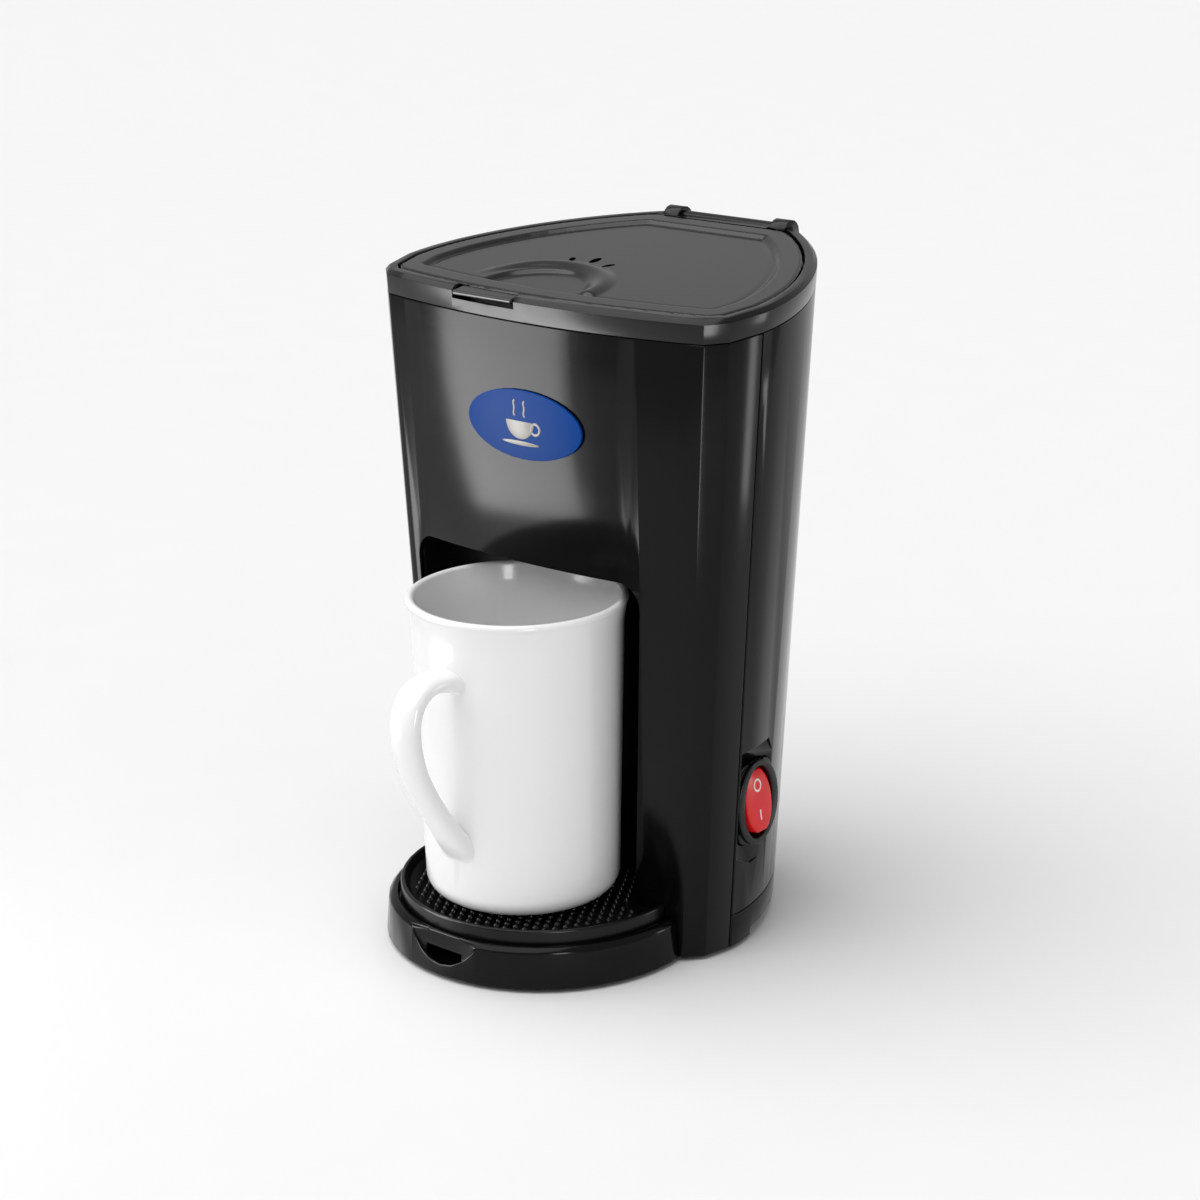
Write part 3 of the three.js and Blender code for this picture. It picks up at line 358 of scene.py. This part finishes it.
# %% [markdown]
# ## The lid's top
#
# The lid is a shallow moulding: a flat border, a soft step down to a panel, a finger well with a
# raised moon-shaped ridge round it, and three steam vents. Such soft relief is easiest as a fine grid
# whose heights follow a few smooth rules. The grid is trimmed to the lid's outline and given a depth.

# %% Lid outline
TOP_HEIGHT = 227.6
TOP_SLOPE = 0.093
LID_TOP = 1.5
SKIN_BOTTOM = -1.4
REAR_LINE = 81.6


def lid_outline():
    """The lid's outer edge seen from above, in millimetres, anticlockwise and convex."""
    points = set()
    for vertex in NODES["lid"].data.vertices:
        x, y, z = vertex.co / MM
        level = z - TOP_HEIGHT - TOP_SLOPE * y
        if abs(level - LID_TOP) < 0.25 and y > -23.5:
            points.add((round(x, 3), round(min(y, REAR_LINE), 3)))

    def turn(a, b, c):
        return (b[0] - a[0]) * (c[1] - a[1]) - (b[1] - a[1]) * (c[0] - a[0])

    halves = []
    for ordered in (sorted(points), sorted(points, reverse=True)):
        half = []
        for point in ordered:
            while len(half) > 1 and turn(half[-2], half[-1], point) <= 0.02:
                half.pop()
            half.append(point)
        halves += half[:-1]
    return [Vector(point) for point in halves]


OUTLINE = lid_outline()
EDGES = []
for start, end in zip(OUTLINE, OUTLINE[1:] + OUTLINE[:1]):
    along = (end - start).normalized()
    EDGES.append((start, Vector((-along.y, along.x))))
print("lid outline of", len(OUTLINE), "corners")


# %% Relief rules
def smooth(value, low, high):
    """0 below low, 1 above high, and a soft rise between."""
    part = min(max((value - low) / (high - low), 0), 1)
    return part * part * (3 - 2 * part)


# Heights over the rim's plane, in millimetres
PANEL_LEVEL = 0.35
BORDER_RISE = 1.15
GROOVE_DEPTH = 0.22
EDGE_DROP = 0.55
RIDGE_HEIGHT = 1.25
WELL_DEPTH = 1.35

# The finger well's middle, and the ridge round it
WELL = Vector((-13, -7.5))
RIDGE_RADIUS = 25.2
RIDGE_DRIFT = 1.6
RIDGE_WIDTH = 4.6


def relief(x, y):
    """Height of the lid's top over the sloping plane of the rim, in millimetres."""
    spot = Vector((x, y))
    inward = min((spot - start).dot(normal) for start, normal in EDGES)
    border = 1 - smooth(inward, 7.0, 9.4)
    groove = smooth(inward, 7.6, 9.4) * (1 - smooth(inward, 9.6, 11.6))
    height = PANEL_LEVEL + BORDER_RISE * border - GROOVE_DEPTH * groove
    height -= EDGE_DROP * (1 - smooth(inward, 0.0, 0.8))
    off = spot - WELL
    radius = off.length
    angle = math.degrees(math.atan2(off.y, off.x))
    if angle < -90:
        angle += 360
    inside = smooth(inward, 8.2, 9.6)
    fullness = (1 - smooth(angle, 118, 176)) * smooth(angle, -9, 1)
    middle = RIDGE_RADIUS + RIDGE_DRIFT * smooth(angle, 60, 150)
    width = RIDGE_WIDTH * (0.55 + 0.45 * fullness)
    offset = abs(radius - middle) / width
    if offset < 1 and inside:
        height += RIDGE_HEIGHT * inside * fullness * math.cos(offset * math.pi / 2) ** 1.3
    height -= WELL_DEPTH * inside * (1 - smooth(radius, 18.6, 21.2))
    return height


# %% Lid skin
deselect()
bpy.ops.mesh.primitive_grid_add(x_subdivisions=230, y_subdivisions=168, size=1, location=(0, 0.0288, 0))
skin = bpy.context.object
skin.scale = (0.150, 0.110, 1)
settle(skin)
only(skin)
bpy.ops.object.mode_set(mode="EDIT")
for start, normal in EDGES:
    bpy.ops.mesh.select_all(action="SELECT")
    bpy.ops.mesh.bisect(plane_co=(start.x * MM, start.y * MM, 0), plane_no=(-normal.x, -normal.y, 0),
                        clear_outer=True, clear_inner=False)
bpy.ops.mesh.select_all(action="SELECT")
bpy.ops.mesh.extrude_region_move(TRANSFORM_OT_translate={"value": (0, 0, -MM)})
bpy.ops.object.mode_set(mode="OBJECT")
for vertex in skin.data.vertices:
    x, y = vertex.co.x / MM, vertex.co.y / MM
    level = SKIN_BOTTOM if vertex.co.z < -0.5 * MM else relief(x, y)
    vertex.co.z = (TOP_HEIGHT + TOP_SLOPE * y + level) * MM
outward(skin)

# %% Steam vents
VENTS = (
    # x, y, length, width in millimetres, lean in radians
    (-20.6, 24.4, 4.6, 2.3, 0.55),
    (-11.9, 26.4, 6.6, 3.2, 0.12),
    (-3.4, 23.2, 5.0, 2.4, -0.5),
)
for x, y, long, wide, lean in VENTS:
    deselect()
    bpy.ops.mesh.primitive_cylinder_add(vertices=28, radius=MM / 2, depth=12 * MM,
                                        location=(x * MM, y * MM, (TOP_HEIGHT + TOP_SLOPE * y) * MM))
    cutter = bpy.context.object
    cutter.scale = (wide, long, 1)
    cutter.rotation_euler = (0, 0, lean)
    settle(cutter)
    cut = skin.modifiers.new("vent", "BOOLEAN")
    cut.operation = "DIFFERENCE"
    cut.solver = "EXACT"
    cut.object = cutter
    apply_all(skin)
    bpy.data.objects.remove(cutter, do_unlink=True)
complete(skin, "lid_top", lid_black, "lid", smooth=40)

# %% [markdown]
# The underside with its rib, and the barrel at the back, keep their CAD shapes. A copy is cut along
# the sloping plane below the relief, and another behind the relief's rear line.

# %% Lid underside and barrel
def cut_copy(name, point, normal):
    """A copy of the CAD lid that keeps what lies behind a plane."""
    piece = merged_copy("lid", name)
    only(piece)
    bpy.ops.object.mode_set(mode="EDIT")
    bpy.ops.mesh.select_all(action="SELECT")
    bpy.ops.mesh.bisect(plane_co=point, plane_no=normal, clear_outer=True, use_fill=True)
    bpy.ops.object.mode_set(mode="OBJECT")
    return piece


slope_up = (0, -TOP_SLOPE, 1)
under = cut_copy("lid_under", (0, 0, (TOP_HEIGHT + SKIN_BOTTOM) * MM), slope_up)
barrel = cut_copy("lid_barrel", (0, REAR_LINE * MM, 0), (0, -1, 0))
complete(under, "lid_under", satin_black, "lid", smooth=35)
complete(barrel, "lid_barrel", rim_black, "lid", smooth=35, nodes=("lid",))

# %% [markdown]
# ## The lid's tab
#
# The finger tab at the front is a thin plate with well-rounded corners, a little lower than the
# border. It starts as a cube, its upright corners get a large bevel and all its edges a small one.

# %% Tab
deselect()
TAB_X = -20
TAB_WIDTH = 27
TAB_THICKNESS = 1.8
TAB_DROP = 0.15
tab_front, tab_back = -24.15, -12.5
tab_middle = (tab_front + tab_back) / 2
tab_level = TOP_HEIGHT + TOP_SLOPE * tab_middle - TAB_DROP
bpy.ops.mesh.primitive_cube_add(size=1, location=Vector((TAB_X, tab_middle, tab_level)) * MM)
tab = bpy.context.object
tab.scale = Vector((TAB_WIDTH, tab_back - tab_front, TAB_THICKNESS)) * MM
settle(tab)
for width, steps, upright in ((4.6, 8, True), (0.6, 3, False)):
    only(tab)
    bpy.ops.object.mode_set(mode="EDIT")
    bpy.ops.mesh.select_all(action="DESELECT")
    bpy.ops.object.mode_set(mode="OBJECT")
    for edge in tab.data.edges:
        a, b = (tab.data.vertices[i].co for i in edge.vertices)
        is_upright = abs(a.z - b.z) > MM
        edge.select = is_upright if upright else not is_upright
    bpy.ops.object.mode_set(mode="EDIT")
    bpy.ops.mesh.select_mode(type="EDGE")
    bpy.ops.mesh.bevel(offset=width * MM, segments=steps, clamp_overlap=True)
    bpy.ops.mesh.select_mode(type="VERT")
    bpy.ops.object.mode_set(mode="OBJECT")
for vertex in tab.data.vertices:
    vertex.co.z += TOP_SLOPE * (vertex.co.y - tab_middle * MM)
outward(tab)
complete(tab, "lid_tab", lid_black, "lid", smooth=40)

# %% [markdown]
# ## The mug
#
# A thrown mug is a surface of revolution: its section is drawn once, from the middle of the foot up
# the outside, over the rounded lip and down the inside, and spun round. The section below is a list
# of heights and radii in millimetres, with the flare of the rim and the curve of the heel drawn fine.

# %% Spin helper
def spun(name, section, centre, steps=96):
    """Spins a section, given as (radius, height) in millimetres, round a vertical axis."""
    deselect()
    start = Vector((centre[0] + section[0][0], centre[1], section[0][1])) * MM
    bpy.ops.mesh.primitive_plane_add(size=MM, location=start)
    piece = bpy.context.object
    settle(piece)
    only(piece)
    bpy.ops.object.mode_set(mode="EDIT")
    bpy.ops.mesh.select_mode(type="VERT")
    bpy.ops.mesh.select_all(action="SELECT")
    bpy.ops.mesh.merge(type="CENTER")
    for (r0, z0), (r1, z1) in zip(section, section[1:]):
        step = Vector((r1 - r0, 0, z1 - z0)) * MM
        bpy.ops.mesh.extrude_region_move(TRANSFORM_OT_translate={"value": step})
    bpy.ops.mesh.select_all(action="SELECT")
    middle = Vector((centre[0], centre[1], 0)) * MM
    bpy.ops.mesh.spin(steps=steps, angle=2 * math.pi, center=middle, axis=(0, 0, 1))
    bpy.ops.object.mode_set(mode="OBJECT")
    outward(piece)
    piece.name = name
    return piece


def arc(cx, cz, radius, start, end, steps):
    """Points of an arc in a section; the angles are in degrees."""
    turns = [math.radians(start + (end - start) * i / steps) for i in range(steps + 1)]
    return [(cx + radius * math.cos(t), cz + radius * math.sin(t)) for t in turns]


# %% Mug body
MUG_Y = -31.8
MUG_FLOOR = 20.2
MUG_TOP = 127.5
MUG_WALL = 3.0
FLARE_FROM = 116.5


def mug_radius(z):
    """Outside radius of the wall: a slight taper, then a flare towards the lip."""
    taper = 33.9 + (36.3 - 33.9) * (z - 27) / (FLARE_FROM - 27)
    if z <= FLARE_FROM:
        return taper
    return taper + 1.9 * ((z - FLARE_FROM) / (MUG_TOP - FLARE_FROM)) ** 2


heel = [(27 + 6.9 * math.sin(t), MUG_FLOOR + 0.4 + 6.6 * (1 - math.cos(t)))
        for t in [math.radians(a) for a in range(0, 91, 10)]]
wall_heights = [27.2, 40, 60, 80, 100, 110, 116.5, 118.5, 120.5, 122.5, 124, 125.4]
outside = [(mug_radius(z), z) for z in wall_heights]
lip = arc(mug_radius(125.9) - 1.35, 126.0, 1.45, -10, 185, 9)
inside = [(mug_radius(z) - MUG_WALL, z) for z in reversed(wall_heights) if z < 124]
bowl = [(23.4 + 7.4 * math.cos(t), MUG_FLOOR + 11.4 - 6.6 * math.sin(t))
        for t in [math.radians(a) for a in range(10, 91, 10)]]
section = [(0, 21.6), (22.6, 21.6), (23.6, 20.9), (24.2, 20.3), (25.6, 20.22), (26.4, 20.35)]
section += heel[1:] + outside[1:] + lip + inside[:-1] + bowl + [(0, bowl[-1][1])]
mug = spun("mug_body", section, (0, MUG_Y), 112)

# %% [markdown]
# ## The mug's handle
#
# The handle is a strap of clay pulled along a curve and pressed on at both ends, where it swells. A
# path with a rounded section is swept along it, and the path's own radius makes the swelling.

# %% Handle
HANDLE_PATH = [
    # distance out from the mug's axis, height, swelling
    (-30.5, 103.5, 1.35), (-34.5, 105.0, 1.16), (-40, 106.6, 1.0), (-45.5, 107.4, 0.98),
    (-51, 106.0, 0.98), (-55.2, 102.0, 0.98), (-57.0, 96.5, 0.98), (-57.0, 90.0, 0.98),
    (-55.6, 82.5, 0.98), (-52.6, 74.5, 0.98), (-48.0, 66.5, 0.98), (-43.4, 59.6, 0.98),
    (-39.2, 53.4, 1.02), (-35.4, 48.0, 1.16), (-30.8, 43.0, 1.35),
]
STRAP_WIDTH = 12.4
STRAP_DEPTH = 6.8
SQUARENESS = 1.18

deselect()
bpy.ops.curve.primitive_bezier_circle_add(radius=1)
strap_section = bpy.context.object
strap_section.scale = (STRAP_WIDTH / 2 * MM, STRAP_DEPTH / 2 * MM, 1)
for point in strap_section.data.splines[0].bezier_points:
    point.handle_left_type = "FREE"
    point.handle_right_type = "FREE"
    point.handle_left = point.co + (point.handle_left - point.co) * SQUARENESS
    point.handle_right = point.co + (point.handle_right - point.co) * SQUARENESS
strap_section.data.resolution_u = 8
settle(strap_section)

bpy.ops.curve.primitive_nurbs_path_add()
handle = bpy.context.object
handle.data.splines.clear()
spline = handle.data.splines.new("NURBS")
spline.points.add(len(HANDLE_PATH) - 1)
for point, (out, height, swell) in zip(spline.points, HANDLE_PATH):
    point.co = (0, (MUG_Y + out) * MM, height * MM, 1)
    point.radius = swell
spline.order_u = 4
spline.use_endpoint_u = True
spline.resolution_u = 6
handle.data.dimensions = "3D"
handle.data.twist_mode = "MINIMUM"
handle.data.bevel_mode = "OBJECT"
handle.data.bevel_object = strap_section
handle.data.use_fill_caps = True
only(handle)
bpy.ops.object.convert(target="MESH")
handle = bpy.context.object
outward(handle)
bpy.data.objects.remove(strap_section, do_unlink=True)

# %% [markdown]
# The two are joined into one solid with a boolean, so that the handle's ends don't run on inside the
# wall. The swelling at each end stands for the slip that the potter smooths into the joint.

# %% Join the handle
only(mug)
union = mug.modifiers.new("handle", "BOOLEAN")
union.operation = "UNION"
union.solver = "EXACT"
union.object = handle
apply_all(mug)
bpy.data.objects.remove(handle, do_unlink=True)
complete(mug, "mug_pottery", glaze, "mug", smooth=50, nodes=("mug",))

# %% [markdown]
# ## The drip tray
#
# The tray is a round dish whose back runs into the machine. It is spun from its section, and then
# kept only where the CAD tray is, which trims it to the shape of the opening.

# %% Tray dish
TRAY_CENTRE = (0, -20.3)
TRAY_FLOOR = 18.3
tray_section = [
    (0, 12.75), (50.7, 12.75), (51.05, 13.1), (51.05, 19.9), (50.95, 20.4), (50.7, 20.7),
    (50.1, 20.75), (49.4, 20.55), (48.9, 20.1), (48.2, 18.8), (47.5, TRAY_FLOOR), (0, TRAY_FLOOR),
]
tray = spun("tray", tray_section, TRAY_CENTRE, 128)
trim = merged_copy("drip_tray", "tray_trim")
outward(trim)
keep = tray.modifiers.new("trim", "BOOLEAN")
keep.operation = "INTERSECT"
keep.solver = "EXACT"
keep.object = trim
apply_all(tray)
bpy.data.objects.remove(trim, do_unlink=True)
complete(tray, "tray_dish", tray_black, "tray", smooth=35, nodes=("drip_tray",))

# %% [markdown]
# ## The tray's studs
#
# Small round studs keep the mug out of the drips. One low dome is modelled and arrayed in two sets of
# rows, the second shifted by half a pitch, and the studs that miss the dish are deleted by place.

# %% Studs
STUD_RADIUS = 1.15
STUD_HEIGHT = 1.45
PITCH = 3.9
ROW = PITCH * math.sqrt(3) / 2
ROWS = 26
COLUMNS = 26
FIRST_ROW_Y = -72
DISH_REACH = 0.0458
DISH_Y = 0.0203
BAY_MOUTH_Y = -0.0235
BAY_END_Y = 0.004


def stud_field(shift):
    """Every other row of studs, as one mesh."""
    deselect()
    first_x = -ROWS / 2 * PITCH + shift * PITCH / 2
    low = Vector((first_x, FIRST_ROW_Y + shift * ROW, TRAY_FLOOR - 0.25)) * MM
    bpy.ops.mesh.primitive_uv_sphere_add(segments=8, ring_count=6, radius=STUD_RADIUS * MM, location=low)
    field = bpy.context.object
    field.scale = (1, 1, STUD_HEIGHT / STUD_RADIUS)
    settle(field)
    only(field)
    bpy.ops.object.mode_set(mode="EDIT")
    bpy.ops.mesh.select_all(action="SELECT")
    bpy.ops.mesh.bisect(plane_co=low, plane_no=(0, 0, 1), clear_inner=True, use_fill=True)
    bpy.ops.object.mode_set(mode="OBJECT")
    for count, step in ((COLUMNS, (PITCH * MM, 0, 0)), (ROWS // 2, (0, 2 * ROW * MM, 0))):
        rows = field.modifiers.new("rows", "ARRAY")
        rows.count = count
        rows.use_relative_offset = False
        rows.use_constant_offset = True
        rows.constant_offset_displace = step
    apply_all(field)
    return field


studs = stud_field(0)
second = stud_field(1)
only(studs)
second.select_set(True)
bpy.ops.object.join()

alcove_low, alcove_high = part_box("mug_alcove")
jamb_left = alcove_low.x + 0.0095
jamb_right = alcove_high.x - 0.0105
mesh = bmesh.new()
mesh.from_mesh(studs.data)
mesh.verts.ensure_lookup_table()
seen = set()
lost = []
for start in mesh.verts:
    if start in seen:
        continue
    island, front_line = {start}, [start]
    while front_line:
        for edge in front_line.pop().link_edges:
            for vertex in edge.verts:
                if vertex not in island:
                    island.add(vertex)
                    front_line.append(vertex)
    seen |= island
    middle = sum((v.co for v in island), Vector()) / len(island)
    in_dish = Vector((middle.x, middle.y + DISH_Y)).length < DISH_REACH
    in_bay = middle.y < BAY_MOUTH_Y or (jamb_left < middle.x < jamb_right and middle.y < BAY_END_Y)
    if not (in_dish and in_bay):
        lost += list(island)
bmesh.ops.delete(mesh, geom=lost, context="VERTS")
mesh.to_mesh(studs.data)
mesh.free()
complete(studs, "tray_studs", tray_black, "tray", smooth=60)

# %% [markdown]
# ## The rocker switch
#
# The rocker's shape is the CAD one, softened. Its two marks are the usual ones for off and on: a ring
# at the top and a bar at the bottom. They are made level and then tipped with the rocker.

# %% Rocker and its marks
soften("rocker", 0.55, 3, 24)
SWITCH_Y, SWITCH_Z = 14.6, 52.6
PIVOT = Vector((62.7, SWITCH_Y, SWITCH_Z)) * MM
FACE_X = 68.1
TILT = math.radians(-8.5)


def tip(piece, name):
    """Tips a mark with the rocker."""
    settle(piece)
    turn = Matrix.Translation(PIVOT) @ Matrix.Rotation(TILT, 4, "Y") @ Matrix.Translation(-PIVOT)
    piece.data.transform(turn)
    return complete(piece, name, mark_white, "rocker", smooth=50)


deselect()
bpy.ops.mesh.primitive_torus_add(location=Vector((FACE_X, SWITCH_Y, SWITCH_Z + 5.4)) * MM,
                                 rotation=(0, math.pi / 2, 0), major_radius=1.75 * MM,
                                 minor_radius=0.3 * MM, major_segments=32, minor_segments=8)
ring = bpy.context.object
ring.scale = (1.15, 1, 0.25)
tip(ring, "mark_off")

deselect()
bpy.ops.mesh.primitive_cylinder_add(vertices=20, radius=0.32 * MM, depth=3.6 * MM,
                                    location=Vector((FACE_X, SWITCH_Y, SWITCH_Z - 5.2)) * MM)
bar = bpy.context.object
bar.scale = (0.25, 1, 1)
settle(bar)
only(bar)
bevel = bar.modifiers.new("ends", "BEVEL")
bevel.width = 0.12 * MM
bevel.segments = 2
apply_all(bar)
tip(bar, "mark_on")

# %% [markdown]
# ## The badge
#
# The front carries an oval blue badge with a rounded edge. Its device is a plain cup over a
# saucer with two wisps of steam, built from flat shapes that follow the badge's gentle curve.

# %% Badge plate
badge = merged_copy("badge", "badge_plate")
round_edge = badge.modifiers.new("round edge", "BEVEL")
round_edge.width = 0.35 * MM
round_edge.segments = 3
round_edge.limit_method = "ANGLE"
round_edge.angle_limit = math.radians(50)
apply_all(badge)
complete(badge, "badge_plate", badge_blue, "housing", smooth=40, nodes=("badge",))

# %% Badge device
BADGE_X, BADGE_Z = -2, 184
FRONT_RADIUS = 340
front_of_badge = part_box("badge")[0].y
THICK = 0.3
BADGE_LEAN = 0.0136
device_y = front_of_badge + 0.16 * MM


def wrap(piece):
    """Bends a flat device backwards with the front's curve, and leans it with the draft."""
    for vertex in piece.data.vertices:
        across = vertex.co.x
        up = vertex.co.z - BADGE_Z * MM
        vertex.co.y += across * across / (2 * FRONT_RADIUS * MM) - up * BADGE_LEAN


def flat_disc(x, z, radius, squeeze, sides=40):
    """A thin disc facing forward, flattened in height by squeeze."""
    deselect()
    bpy.ops.mesh.primitive_cylinder_add(vertices=sides, radius=radius * MM, depth=THICK * MM,
                                        location=(x * MM, device_y, z * MM),
                                        rotation=(math.pi / 2, 0, 0))
    made = bpy.context.object
    made.scale = (1, squeeze, 1)
    settle(made)
    return made


bowl_of_cup = flat_disc(BADGE_X - 1, BADGE_Z + 1.2, 6.2, 1.0, 48)
only(bowl_of_cup)
bpy.ops.object.mode_set(mode="EDIT")
bpy.ops.mesh.select_all(action="SELECT")
bpy.ops.mesh.bisect(plane_co=(0, 0, (BADGE_Z + 1.2) * MM), plane_no=(0, 0, 1),
                    clear_outer=True, use_fill=True)
bpy.ops.object.mode_set(mode="OBJECT")

saucer = flat_disc(BADGE_X - 1, BADGE_Z - 6.4, 8.2, 0.09)

deselect()
bpy.ops.mesh.primitive_torus_add(location=(BADGE_X * MM + 5.6 * MM, device_y, (BADGE_Z - 0.9) * MM),
                                 rotation=(math.pi / 2, 0, 0), major_radius=1.9 * MM,
                                 minor_radius=0.5 * MM, major_segments=32, minor_segments=10)
loop = bpy.context.object
loop.scale = (1, 1, 0.3)
settle(loop)

WISP_FLATNESS = 0.36
wisps = []
for side in (-1, 1):
    deselect()
    bpy.ops.curve.primitive_nurbs_path_add()
    wisp = bpy.context.object
    for i, point in enumerate(wisp.data.splines[0].points):
        sway = 2.0 * (-1) ** i if 0 < i < 4 else 0
        across = (BADGE_X - 1 + side * 2.2 + sway) * MM
        point.co = (across, device_y, (BADGE_Z + 2.9 + i * 1.35) * MM, 1)
    wisp.data.bevel_depth = 0.42 * MM
    wisp.data.bevel_resolution = 3
    wisp.data.use_fill_caps = True
    only(wisp)
    bpy.ops.object.convert(target="MESH")
    wisp = bpy.context.object
    for vertex in wisp.data.vertices:
        vertex.co.y = device_y + (vertex.co.y - device_y) * WISP_FLATNESS
    wisps.append(wisp)

for number, piece in enumerate([bowl_of_cup, saucer, loop, *wisps]):
    rounding = piece.modifiers.new("round edge", "BEVEL")
    rounding.width = 0.06 * MM
    rounding.segments = 2
    rounding.limit_method = "ANGLE"
    rounding.angle_limit = math.radians(50)
    apply_all(piece)
    wrap(piece)
    outward(piece)
    complete(piece, f"badge_device_{number + 1}", badge_pale, "housing", smooth=40)

# %% [markdown]
# ## Where the rim corner falls, and the end
#
# At the end the place where the camera puts one known corner of the rim is printed.

# %% Finish
corner = Vector((69.4, -17.8, 226)) * MM
bpy.context.view_layer.update()
seen_at = world_to_camera_view(bpy.context.scene, camera, corner)
print("rim corner at", round(seen_at.x, 4), round(1 - seen_at.y, 4))
deselect()
